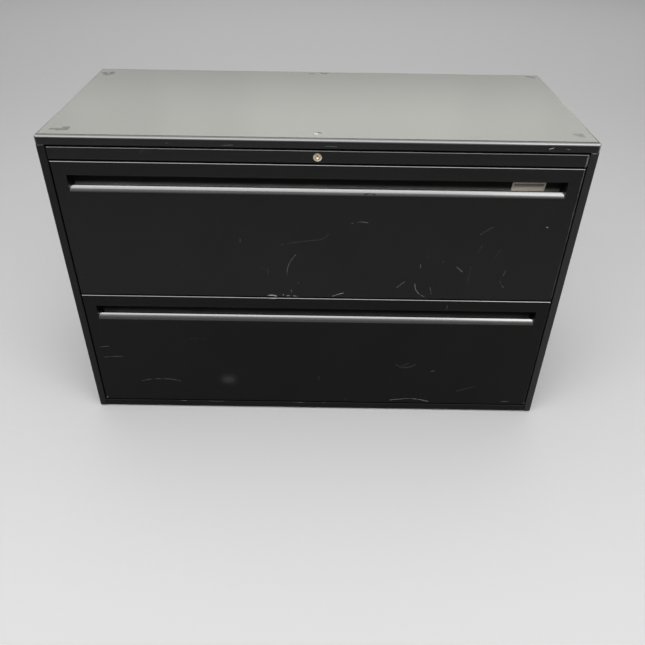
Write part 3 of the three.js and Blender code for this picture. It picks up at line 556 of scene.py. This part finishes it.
# %% Enamel for each panel
# the index and polish of each panel are painted light and shade, set to how brightly each panel is lit
panel_enamel = {
    "top_panel": black_enamel("top_enamel", top_marks, gloss=0.26, wiping=0.006, index=1.40, polish=2.05),
    "lock_rail": black_enamel("rail_enamel", rail_marks, index=1.315, polish=2.0),
    "upper_front": black_enamel("upper_front_enamel", upper_marks, index=1.28, polish=2.2),
    "lower_front": black_enamel("lower_front_enamel", lower_marks, index=1.20, polish=2.4),
    "base_rail": black_enamel("base_rail_enamel", base_marks, index=1.21),
    "left_side_panel": black_enamel("left_side_enamel", left_side_highlight, index=1.28),
    "right_side_panel": black_enamel("right_side_enamel", right_side_highlight, index=1.42),
}
print("panels with an enamel of their own:", len(panel_enamel))

# %% [markdown]
# The rear wall of the pocket behind a pull is lit by light that falls in over the lip, and lies in
# shade under the upper edge. That light is painted into the wall's colour: grey just over the lip and
# black under the upper edge. A greyer paint would make it grey all over. So the painted light is a
# share that falls with the height above the pocket's floor, broken into streaks and made matt, and
# the upper pocket shows more of it than the lower one.

# %% Painted light in the pocket behind each pull
painted_light_thins_out, painted_light_is_full = 0.46, 0.06
thinnest_streak = 0.7
pocket_black, pocket_index = grey(0.013), 1.36
pocket_roughness, painted_light_roughness = 0.45, 0.8
pocket_painted_light = {"upper": 0.42, "lower": 0.12}


def pocket_enamel(name, node, painted_light_level):
    material, tree, shader, place = start_material(name)
    low, high = (corner[2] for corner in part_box(node))
    level = add_node(tree, "ShaderNodeSeparateXYZ", Vector=place).outputs["Z"]
    # painted light: a grey share, strongest just over the lip and gone under the upper edge
    painted_light_reach = ramp(tree, level, low + painted_light_thins_out * (high - low), low + painted_light_is_full * (high - low))
    streaks = ramp(tree, noise(tree, place, scale=30.0, detail=3.0), start=0.2, end=0.8)
    share = reckon(tree, "MULTIPLY", painted_light_reach, blend_values(tree, streaks, thinnest_streak, 1.0))
    painted_light_colour = grey(painted_light_level, warmth=0.03)
    plug(tree, shader.inputs["Base Color"], blend_colours(tree, share, pocket_black, painted_light_colour))
    roughness = blend_values(tree, share, pocket_roughness, painted_light_roughness)
    plug(tree, shader.inputs["Roughness"], roughness)
    shader.inputs["IOR"].default_value = pocket_index
    orange_peel(tree, shader, place)
    return material


for which, painted_light_level in pocket_painted_light.items():
    trough = f"{which}_pull_trough"
    panel_enamel[trough] = pocket_enamel(f"{which}_pocket_enamel", trough, painted_light_level)
print("pockets given_painted_light:", len(pocket_painted_light))

# %% [markdown]
# Zinc plate, nickel and brass are bare metals. Their colour is their reflection, so each is a metallic
# surface with a tint, and the difference between them lies in how rough they are and how unevenly the
# plating has clouded. The label holder's steel has gone so dull that hardly any of it still mirrors.

# %% Plated metals
clouded_share = 0.72
grain_depth, grain_strength = 0.02 * MM, 0.5


def plated_metal(name, tint, gloss, cloud=0.08, grain=320.0, metallic=1.0):
    material, tree, shader, place = start_material(name)
    mist = noise(tree, place, scale=55.0, detail=4.0, roughness=0.6)
    specks = noise(tree, place, scale=grain)
    clouded = tuple(channel * clouded_share for channel in tint[:3]) + (1.0,)
    misty = ramp(tree, mist, start=0.3, end=0.7)
    plug(tree, shader.inputs["Base Color"], blend_colours(tree, misty, clouded, tint))
    uneven = reckon(tree, "MULTIPLY", reckon(tree, "ADD", mist, specks), 0.5)
    plug(tree, shader.inputs["Roughness"], blend_values(tree, uneven, gloss - cloud, gloss + cloud))
    shader.inputs["Metallic"].default_value = metallic
    bump = add_node(tree, "ShaderNodeBump", Height=specks, Distance=grain_depth, Strength=grain_strength)
    plug(tree, shader.inputs["Normal"], bump.outputs["Normal"])
    return material


zinc = plated_metal("zinc_plate", (0.52, 0.53, 0.53, 1.0), gloss=0.34)
nickel = plated_metal("warm_nickel", (0.78, 0.68, 0.55, 1.0), gloss=0.24, cloud=0.05)
plug_brass = plated_metal("worn_plug_brass", (0.62, 0.50, 0.35, 1.0), gloss=0.38, cloud=0.04)
holder_steel = plated_metal("holder_steel", (0.86, 0.79, 0.69, 1.0), gloss=0.45, metallic=0.1)
print("metals:", zinc.name, nickel.name, plug_brass.name, holder_steel.name)

# %% [markdown]
# Card, nylon and cast iron are matt. Each is a blend of two near colours and a bump, and the size of
# the grain tells them apart: fibres in the card, a fine skin on the nylon, sand on the iron. The card
# lies in the shade of the pocket's upper edge, so a painted shade, a darker tint, rises towards its
# upper edge.

# %% Card, nylon and iron
painted_shade_begins, painted_shade_full = 0.25, 0.85
matt_strength = 0.6


def matt_stuff(name, low, high, roughness, grain, depth, shaded_node=None, shade_tint=None):
    material, tree, shader, place = start_material(name)
    fibres = noise(tree, place, scale=grain, detail=4.0, roughness=0.6)
    colour = blend_colours(tree, ramp(tree, fibres, start=0.3, end=0.7), low, high)
    # painted shade: the card darkens towards its upper edge
    if shaded_node:
        foot, head = (corner[2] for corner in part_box(shaded_node))
        level = add_node(tree, "ShaderNodeSeparateXYZ", Vector=place).outputs["Z"]
        share = ramp(tree, level, foot + painted_shade_begins * (head - foot), foot + painted_shade_full * (head - foot))
        colour = blend_colours(tree, share, colour, shade_tint)
    plug(tree, shader.inputs["Base Color"], colour)
    shader.inputs["Roughness"].default_value = roughness
    bump = add_node(tree, "ShaderNodeBump", Height=fibres, Distance=depth, Strength=matt_strength)
    plug(tree, shader.inputs["Normal"], bump.outputs["Normal"])
    return material


card = matt_stuff(
    "plain_card", (0.80, 0.72, 0.60, 1.0), (0.88, 0.80, 0.68, 1.0), roughness=0.85, grain=600.0,
    depth=0.03 * MM, shaded_node="label_card", shade_tint=(0.26, 0.24, 0.20, 1.0),
)
nylon = matt_stuff("foot_nylon", grey(0.012), grey(0.02), roughness=0.5, grain=900.0, depth=0.02 * MM)
iron = matt_stuff("cast_iron", grey(0.03), grey(0.07), roughness=0.75, grain=240.0, depth=0.4 * MM)
print("matt materials:", card.name, nylon.name, iron.name)

# %% [markdown]
# The model names a material slot for each node: what the piece is made of. Each of the sixty nodes
# could be given its finish by name, but handing the finishes out by slot is shorter and forgets none
# of the pieces inside the case. A panel that has an enamel of its own takes that one.

# %% Give each node its finish
finishes = {
    "case_paint": case_enamel, "drawer_paint": drawer_enamel, "zinc_plate": zinc, "lock_nickel": nickel,
    "label_steel": holder_steel, "label_card": card, "foot_nylon": nylon, "cast_iron": iron,
}
for entry in frame["record"]["subparts"]:
    piece = nodes[entry["node"]]
    piece.data.materials.clear()
    finish = panel_enamel.get(entry["node"], finishes[entry["material_slot"]])
    piece.data.materials.append(finish)

# %% [markdown]
# The lock is a nickel barrel with a brass plug turning inside it. The model holds both at their real
# size, but with flat-sided outlines, and they are the one bright thing on a black front. Rounding
# those outlines with modifiers would blur their edges too, so both are turned again here, as on a
# lathe: half a section is spun about the lock's axis. A point of the section is a radius and a depth,
# and a third number pinches the ring into a cross, for screws.

# %% Helpers that turn round pieces
def spin(mesh, section, centre, steps=64, start=0.0, facing=0.0):
    rings = []
    aim = Matrix.Rotation(facing, 3, "Z")
    for radius, depth, *cross in section:
        ring = []
        for step in range(steps if radius else 1):
            turn = start + 2 * math.pi * step / steps
            reach = radius * (1 - cross[0] * math.sqrt(abs(math.sin(2 * turn)))) if cross else radius
            place = aim @ Vector((reach * math.sin(turn), depth, reach * math.cos(turn)))
            ring.append(mesh.verts.new(centre + place * MM))
        rings.append(ring)
    if section[0][0]:
        rings.append(rings[0])
    for ring, following in zip(rings, rings[1:]):
        for step in range(steps):
            ahead = step + 1
            corners = [
                ring[step % len(ring)], ring[ahead % len(ring)],
                following[ahead % len(following)], following[step % len(following)],
            ]
            mesh.faces.new(list(dict.fromkeys(corners)))


def finished_piece(name, mesh, material, sharp_angle=30):
    bmesh.ops.recalc_face_normals(mesh, faces=mesh.faces)
    data = bpy.data.meshes.new(name)
    mesh.to_mesh(data)
    mesh.free()
    data.shade_smooth()
    data.set_sharp_from_angle(angle=math.radians(sharp_angle))
    data.materials.append(material)
    piece = bpy.data.objects.new(name, data)
    bpy.context.scene.collection.objects.link(piece)
    return piece


# %% Measure the lock
barrel_low, barrel_high = (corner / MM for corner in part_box("lock_barrel"))
plug_low, plug_high = (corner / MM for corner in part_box("lock_plug"))
lock_axis = Vector((0.0, 0.0, (barrel_low.z + barrel_high.z) / 2)) * MM
barrel_face, barrel_end, rim_radius = barrel_low.y, barrel_high.y, barrel_high.x
plug_face, plug_tail, plug_radius = plug_low.y, plug_high.y, plug_high.x
print("lock rim and plug in mm:", round(rim_radius, 2), round(plug_radius, 2))

# %% [markdown]
# The barrel is a tube with a rim that sits on the rail. The rim's outer edge is rounded over and its
# bore has a small lead-in, so that both catch a thin ring of light. Between one piece and the next the
# model leaves a small gap, and the turned pieces keep it.

# %% Turn the lock's barrel
seat_gap, rim_overlap = 0.3, 1.3
lead_in, end_chamfer = 0.1, 0.4
rim_round, shoulder_in, shoulder_back = 0.5, 0.12, 0.14
rim_back = front_face - seat_gap
body_radius, bore_radius = rim_radius - rim_overlap, plug_radius + seat_gap

barrel_section = [
    (bore_radius, barrel_face + lead_in), (bore_radius + lead_in, barrel_face),
    (rim_radius - rim_round, barrel_face), (rim_radius - shoulder_in, barrel_face + shoulder_back),
    (rim_radius, barrel_face + rim_round), (rim_radius, rim_back), (body_radius, rim_back),
    (body_radius, barrel_end - end_chamfer), (body_radius - end_chamfer, barrel_end),
    (bore_radius, barrel_end),
]
barrel_mesh = bmesh.new()
spin(barrel_mesh, barrel_section, lock_axis)
turned_barrel = finished_piece("turned_lock_barrel", barrel_mesh, nickel)
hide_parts("lock_barrel")
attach(turned_barrel, "case")
print("barrel faces:", len(turned_barrel.data.polygons))

# %% [markdown]
# The plug's face is a shallow dish. Its lower wall looks up at the light in front, which gives the
# bright spot that real plugs have, and its upper wall looks down and stays brown.

# %% Turn the lock's plug
dish_radius, dish_floor, dish_angle = 3.7, 0.7, math.radians(38)
dish_depth = (dish_radius - dish_floor) * math.tan(dish_angle)
brink, brink_depth = 0.1, 0.07
plug_chamfer = 0.2

plug_section = [
    (0.0, plug_face + dish_depth), (dish_floor, plug_face + dish_depth),
    (dish_radius - brink, plug_face + brink_depth), (dish_radius + brink, plug_face),
    (plug_radius - plug_chamfer, plug_face), (plug_radius, plug_face + plug_chamfer),
    (plug_radius, barrel_end), (0.0, barrel_end),
]
plug_mesh = bmesh.new()
spin(plug_mesh, plug_section, lock_axis)
turned_plug = finished_piece("turned_lock_plug", plug_mesh, plug_brass)
print("dish depth in mm:", round(dish_depth, 2))

# %% [markdown]
# The key slot could be modelled by hand around the dish, but a boolean cuts it cleanly with a plain
# block. The cut mesh is read back once, and then the cutter and the uncut plug are thrown away. Behind
# the barrel the plug goes on as a square tail, which carries the cam.

# %% Cut the key slot and add the square tail
slot_half, slot_low, slot_high, slot_depth = 0.7, -0.6, 4.6, 9.0
slot_size = Vector((2 * slot_half, 2 * slot_depth, slot_high - slot_low))
slot_place = Vector((0.0, plug_face, (slot_low + slot_high) / 2))
slot_mesh = bmesh.new()
slot_block = Matrix.Translation(lock_axis + slot_place * MM) @ Matrix.Diagonal(slot_size).to_4x4()
bmesh.ops.create_cube(slot_mesh, size=MM, matrix=slot_block)
slot_cutter = finished_piece("key_slot_cutter", slot_mesh, plug_brass)

cut = turned_plug.modifiers.new("key_slot", "BOOLEAN")
cut.operation, cut.solver, cut.object = "DIFFERENCE", "EXACT", slot_cutter
ready = turned_plug.evaluated_get(bpy.context.evaluated_depsgraph_get())
slotted = bmesh.new()
slotted.from_mesh(bpy.data.meshes.new_from_object(ready))

tail_half, tail_sides, tail_overlap = 2.4, 4, 0.1
tail_corner = tail_half * math.sqrt(2)
tail_section = [
    (0.0, barrel_end - tail_overlap), (tail_corner, barrel_end - tail_overlap),
    (tail_corner, plug_tail), (0.0, plug_tail),
]
spin(slotted, tail_section, lock_axis, steps=tail_sides, start=math.pi / tail_sides)
for spare in (slot_cutter, turned_plug):
    bpy.data.objects.remove(spare)
slotted_plug = finished_piece("slotted_lock_plug", slotted, plug_brass)
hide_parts("lock_plug")
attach(slotted_plug, "lock_plug")
print("plug faces:", len(slotted_plug.data.polygons))

# %% [markdown]
# Each drawer is screwed to its two runners through round holes in their webs. The model leaves small
# fasteners to this scene, but an opened drawer shows four screws on each side, and an empty hole
# there would look unfinished. One profile makes them all: a pan head, domed towards the middle, whose
# rings nearest the middle are pinched into a cross for the driver. Depth nought is the runner's web,
# and a minus sign points away from the drawer.

# %% The profile of a pan-head screw
head_radius, head_height = 4.6, 1.9
cross_radius, cross_foot, cross_pinch = 2.5, 1.0, 0.62
screw_profile = [
    # the cross, from its floor to its mouth in the crown
    (0.0, -0.35), (cross_foot, -0.5, cross_pinch), (cross_radius, -head_height + 0.02, cross_pinch),
    # the domed crown
    (3.1, -head_height + 0.08), (3.9, -head_height + 0.45),
    # the rounded rim and the flat underside
    (head_radius - 0.1, -0.9), (head_radius, -0.5), (head_radius, 0.0), (0.0, 0.0),
]
print("rings in a screw head:", len(screw_profile))

# %% Screw the drawers to their runners
runner_sheet, screws_each_side = 1.5, 4
screw_steps, first_turn = 32, 0.2
rows = 0
for which in ("upper", "lower"):
    for side_name, side in (("left", -1), ("right", 1)):
        low, high = (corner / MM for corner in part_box(f"{which}_{side_name}_drawer_runner"))
        web_face = side * (min(abs(low.x), abs(high.x)) + runner_sheet)
        pitch = (high.y - low.y) / screws_each_side
        screw_mesh = bmesh.new()
        for place in range(screws_each_side):
            seat = Vector((web_face, low.y + (place + 0.5) * pitch, (low.z + high.z) / 2)) * MM
            spin(
                screw_mesh, screw_profile, seat, steps=screw_steps,
                start=first_turn + place, facing=side * math.pi / 2,
            )
        screws = finished_piece(f"{which}_{side_name}_runner_screws", screw_mesh, zinc)
        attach(screws, f"{which}_drawer")
        rows += 1
print("screws made:", rows * screws_each_side)

# %% [markdown]
# A folded sheet has no knife edges: steel bends round a small radius and paint rounds it further. The
# finest of these roundings could be built into every panel, but three modifiers give them to all the
# nodes alike. The weld joins vertices that lie on each other, because a bevel only works on faces
# that hang together. The bevel rounds what is sharper than an angle, and the weighted normals keep
# the flat panels flat in their shading.

# %% Soften the folds
fold_angle, fold_width, fold_segments = math.radians(28), 0.25 * MM, 2
weld_reach = 0.01 * MM
for piece in nodes.values():
    piece.data.shade_smooth()
    weld = piece.modifiers.new("weld", "WELD")
    weld.merge_threshold = weld_reach
    soften = piece.modifiers.new("soften", "BEVEL")
    soften.width = fold_width
    soften.segments = fold_segments
    soften.limit_method = "ANGLE"
    soften.angle_limit = fold_angle
    shade = piece.modifiers.new("shade", "WEIGHTED_NORMAL")
    shade.mode = "FACE_AREA"
print("nodes with softened folds:", len(nodes))

# %% [markdown]
# A black object is seen by what it mirrors, and more lamps would only burn out the pale floor. So
# bands of light are added just for its reflections. A band fills a range of angles above the horizon,
# counted from straight behind the cabinet, so more than 90 degrees is in front of it. It starts out
# hidden from diffuse rays, so it puts no pool of light on the floor and leaves every colour at its
# plain level.

# %% Helpers that light the studio
def soft_box(name, place, target, size, radiance, tint=(1.0, 1.0, 1.0)):
    light = bpy.data.lights.new(name, "AREA")
    light.shape = "RECTANGLE"
    light.size, light.size_y = size
    light.energy = radiance * math.pi * size[0] * size[1]
    light.color = tint
    box = bpy.data.objects.new(name, light)
    box.location = place
    box.rotation_euler = (Vector(target) - Vector(place)).to_track_quat("-Z", "Y").to_euler()
    box.visible_camera = False
    bpy.context.scene.collection.objects.link(box)
    return box


def mirrored_band(name, target, low, high, radiance, tint=(1.0, 1.0, 1.0), away=2.0, length=4.6, shift=0.0):
    middle, half = math.radians((low + high) / 2), math.radians((high - low) / 2)
    target = Vector(target) + Vector((shift, 0.0, 0.0))
    place = target + away * Vector((0.0, math.cos(middle), math.sin(middle)))
    box = soft_box(name, place, target, (length, 2 * away * math.tan(half)), radiance, tint)
    box.visible_diffuse = False
    return box


# %% [markdown]
# The flat top looks at two bands behind the cabinet, a dim low one and a bright high one. The top is
# brightest in its middle, so three shorter bands stand in front of the high one, and their light adds
# to its light. Bands in one plane would not add up, so a longer one stands a little nearer.

# %% Bands behind the cabinet
top_middle = (0.0, 0.0, cad_box[1][2])
warm_white = (1.0, 1.0, 0.93)
short_bands = (1.0, 1.8, 2.6)
short_bands_away, nearer_by_length = 1.9, 0.1
mirrored_band("low_band_behind", top_middle, low=1, high=17, radiance=0.6, tint=warm_white)
mirrored_band("high_band_behind", top_middle, low=17, high=38, radiance=2.9, tint=warm_white)
for band_length in short_bands:
    mirrored_band(
        "bright_middle_behind", top_middle, low=17, high=38, radiance=0.38, tint=warm_white,
        away=short_bands_away - nearer_by_length * band_length, length=band_length, shift=0.15,
    )
print("short bands over the middle:", len(short_bands))

# %% [markdown]
# The lips and the rounded edges look at the bands in front. The first of them also lights the fronts
# themselves. A short one on the right brightens that end of the lips. The last does the opposite of
# the others: it is hidden from reflections and fills the pockets behind the pulls, where the label
# and the painted light on the rear walls are matt.

# %% Bands in front of the cabinet
pull_level = 0.75 * cad_box[1][2]
pull_middle = (0.0, cad_box[0][1], pull_level)
front_band = mirrored_band("band_in_front", pull_middle, low=109, high=142, radiance=3.0)
front_band.visible_diffuse = True
mirrored_band("low_band_in_front", pull_middle, low=142, high=168, radiance=0.3)
mirrored_band(
    "short_band_on_the_right", pull_middle, low=124, high=150, radiance=2.4, tint=(1.0, 0.95, 0.9),
    length=1.3, shift=1.5,
)
pocket_fill = mirrored_band("pocket_fill", pull_middle, low=122, high=150, radiance=2.0)
pocket_fill.visible_diffuse, pocket_fill.visible_glossy = True, False
print("pull level in m:", round(pull_level, 3))

# %% [markdown]
# The rest is an ordinary studio: one broad soft box overhead, a second one that only lights the floor
# far behind, a pale matt floor, and an even grey world that fills the shadows.

# %% Soft boxes
broad_place, broad_target = (0.0, -0.1, 3.1), (0.0, -0.1, 0.0)
soft_box("broad_box", broad_place, broad_target, size=(4.4, 3.4), radiance=1.35)
far_place, far_target = (0.0, 4.6, 3.4), (0.0, 4.6, 0.0)
far_box = soft_box("far_floor_box", far_place, far_target, size=(9.0, 4.0), radiance=1.2)
far_box.visible_glossy = False
print("lamps:", len(bpy.data.lights))

# %% Floor and world
reach = 12.0
floor_grey, floor_roughness = grey(0.47), 0.9
world_grey, world_strength = grey(0.8), 0.38
floor_corners = [(-reach, -reach, 0), (reach, -reach, 0), (reach, reach, 0), (-reach, reach, 0)]
floor_mesh = bpy.data.meshes.new("floor")
floor_mesh.from_pydata(floor_corners, [], [(0, 1, 2, 3)])
floor = bpy.data.objects.new("floor", floor_mesh)
bpy.context.scene.collection.objects.link(floor)
floor_material, _, floor_shader, _ = start_material("pale_floor")
floor_shader.inputs["Base Color"].default_value = floor_grey
floor_shader.inputs["Roughness"].default_value = floor_roughness
floor_shader.inputs["Specular IOR Level"].default_value = 0.0
floor.data.materials.append(floor_material)

world = bpy.data.worlds.new("studio")
world.use_nodes = True
bpy.context.scene.world = world
background = world.node_tree.nodes["Background"]
background.inputs["Color"].default_value = world_grey
background.inputs["Strength"].default_value = world_strength
bpy.context.scene.view_settings.view_transform = "Standard"
print("floor reaches in m:", reach)
